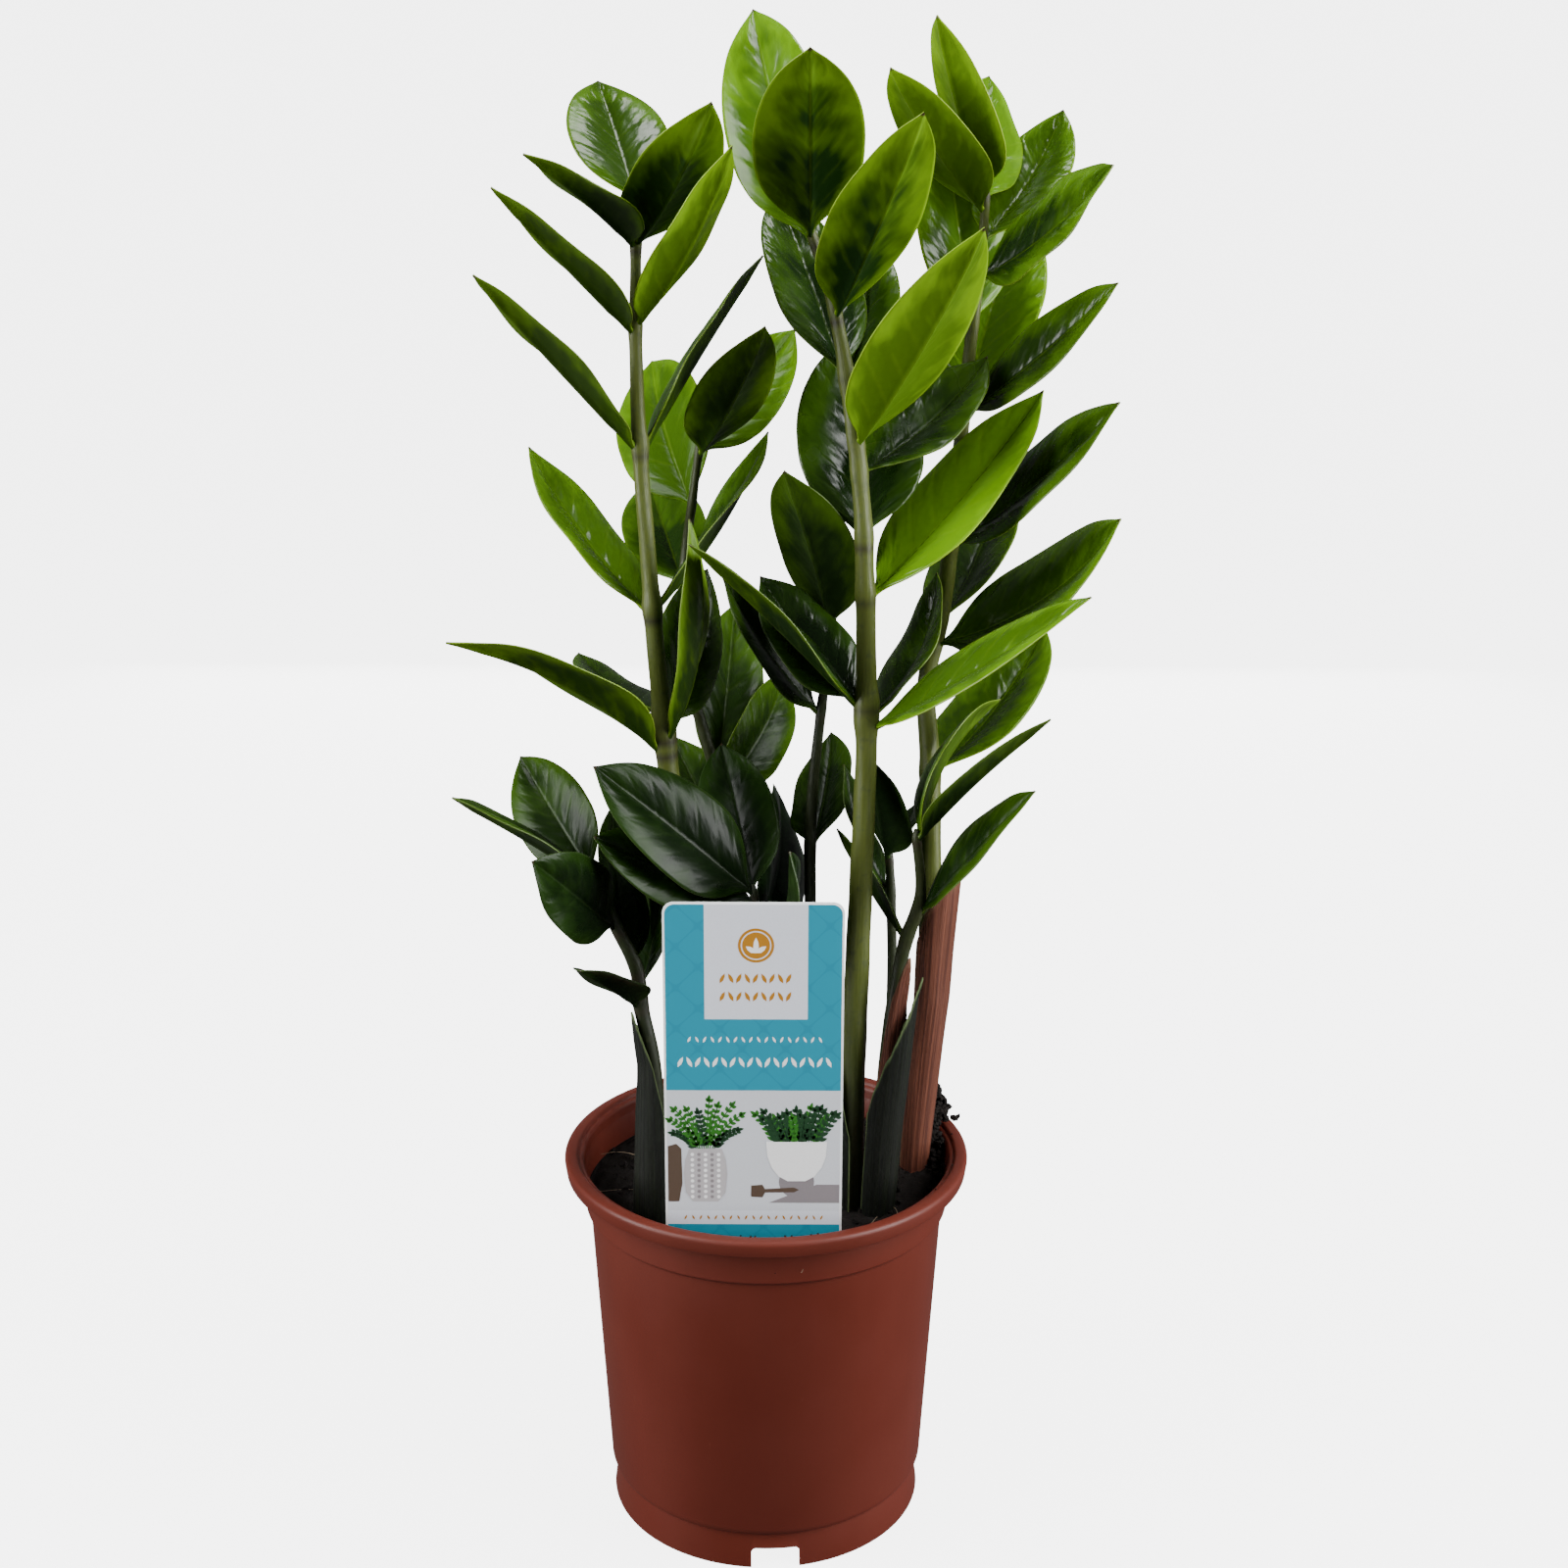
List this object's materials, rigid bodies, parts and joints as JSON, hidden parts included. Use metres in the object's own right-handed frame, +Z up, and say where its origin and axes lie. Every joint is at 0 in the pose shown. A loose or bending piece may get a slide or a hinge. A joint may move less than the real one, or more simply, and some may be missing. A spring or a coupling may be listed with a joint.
{
  "type": "potted zz plant",
  "caption": "Potted ZZ plant with upright fronds of glossy oval leaflets, growing from dark soil in a thin terracotta-coloured nursery pot, with a plant label stuck in the soil.",
  "frame": {"origin": "on the ground under the middle of the whole plant's spread; the pot's axis stands 8 mm to -X and 8 mm to -Y of it", "axes": "+Z up along the pot's axis, -Y towards the front, where the plant label faces, +X to the right of someone looking at that front"},
  "size_m": [0.2547, 0.1855, 0.6162],
  "materials": {
    "pot": "satin",
    "soil": "matte",
    "label": "satin",
    "stem": "satin",
    "leaf": "gloss",
    "shoot": "gloss",
    "sheath_brown": "matte",
    "sheath_dark": "matte"
  },
  "bodies": {
    "root": {"pot": "pot", "soil": "soil", "plant_label": "label", "stem_left": "stem", "stem_center": "stem", "stem_right": "stem", "left_leaf_tip": "leaf", "left_leaf_01": "leaf", "left_leaf_02": "leaf", "left_leaf_03": "leaf", "left_leaf_04": "leaf", "left_leaf_05": "leaf", "left_leaf_06": "leaf", "left_leaf_07": "leaf", "left_leaf_08": "leaf", "left_leaf_09": "leaf", "left_leaf_10": "leaf", "left_leaf_11": "leaf", "left_leaf_12": "leaf", "center_leaf_01": "leaf", "center_leaf_02": "leaf", "center_leaf_03": "leaf", "center_leaf_04": "leaf", "center_leaf_05": "leaf", "center_leaf_06": "leaf", "center_leaf_07": "leaf", "center_leaf_08": "leaf", "center_leaf_09": "leaf", "center_leaf_10": "leaf", "center_leaf_11": "leaf", "center_leaf_12": "leaf", "center_leaf_13": "leaf", "right_leaf_tip": "leaf", "right_leaf_01": "leaf", "right_leaf_02": "leaf", "right_leaf_03": "leaf", "right_leaf_04": "leaf", "right_leaf_05": "leaf", "right_leaf_06": "leaf", "right_leaf_07": "leaf", "right_leaf_08": "leaf", "right_leaf_09": "leaf", "right_leaf_10": "leaf", "right_leaf_11": "leaf", "shoot_rear": "shoot", "shoot_thin": "shoot", "shoot_middle": "shoot", "shoot_slim": "shoot", "shoot_front": "shoot", "shoot_edge": "shoot", "sheath_right": "sheath_brown", "sheath_front": "sheath_brown", "sheath_fold": "sheath_dark", "sheath_center": "sheath_dark", "sheath_edge": "sheath_dark"}
  },
  "joints": []
}
